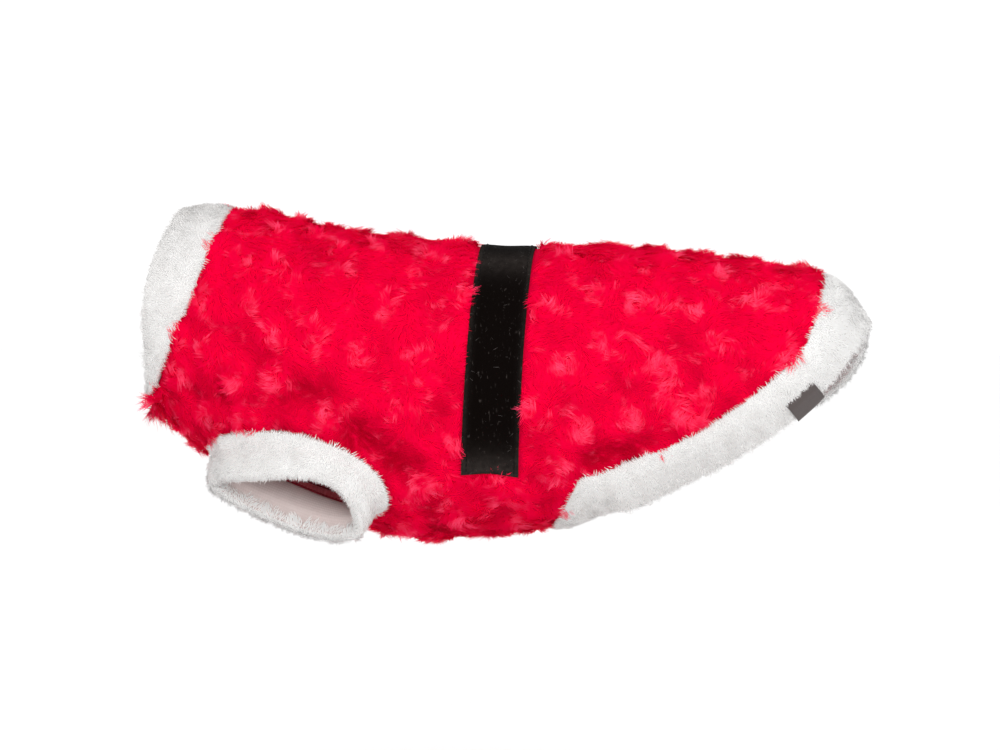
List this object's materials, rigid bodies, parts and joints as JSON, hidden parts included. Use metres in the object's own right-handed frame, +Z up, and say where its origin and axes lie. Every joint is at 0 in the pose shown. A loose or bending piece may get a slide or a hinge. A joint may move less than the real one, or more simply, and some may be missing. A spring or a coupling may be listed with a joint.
{
  "type": "santa suit",
  "caption": "Small dog's santa coat: red rosette plush, white plush collar, leg cuffs and hem, black velvet belt over the back",
  "frame": {"origin": "on the inner face of the back, on the spine under the belt, where the wearer carries the coat", "axes": "+X along the back towards the tail, +Z up, -Y the near side that the picture shows, which is the dog's left"},
  "size_m": [0.4038, 0.1286, 0.1882],
  "materials": {
    "red_plush": "long soft pile pressed into rosettes",
    "white_plush": "dense soft pile",
    "black_velvet": "short velvet pile",
    "label_ribbon": "plain woven ribbon"
  },
  "bodies": {
    "root": {"back_panel": "red_plush", "belly_panel": "red_plush", "collar": "white_plush", "cuff_near": "white_plush", "cuff_far": "white_plush", "hem_band": "white_plush", "belt": "black_velvet", "label": "label_ribbon"}
  },
  "joints": []
}
